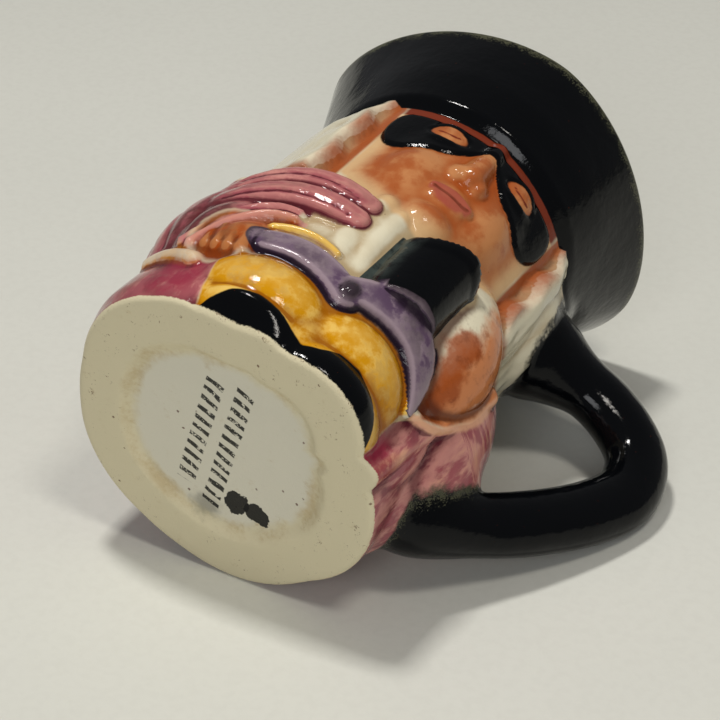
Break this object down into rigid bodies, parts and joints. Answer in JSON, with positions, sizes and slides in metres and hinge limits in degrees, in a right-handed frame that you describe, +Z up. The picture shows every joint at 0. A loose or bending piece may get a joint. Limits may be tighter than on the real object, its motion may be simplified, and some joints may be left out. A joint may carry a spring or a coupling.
{
  "type": "toby jug",
  "caption": "Small hollow figure jug: a seated masked highwayman in a cocked hat whose crown is the open mouth, with a loop handle at one side.",
  "frame": {"origin": "on the plane that the foot stands on, under the middle of the outline with its handle", "axes": "+Z up the jug, the figure looks along -Y, the handle stands out along +X"},
  "size_m": [0.065, 0.0464, 0.064],
  "materials": {
    "glazed_earthenware": "glossy clear glaze over hand-painted earthenware, bare and matt under the foot"
  },
  "bodies": {
    "root": {"toby_jug": "glazed_earthenware"}
  },
  "joints": []
}
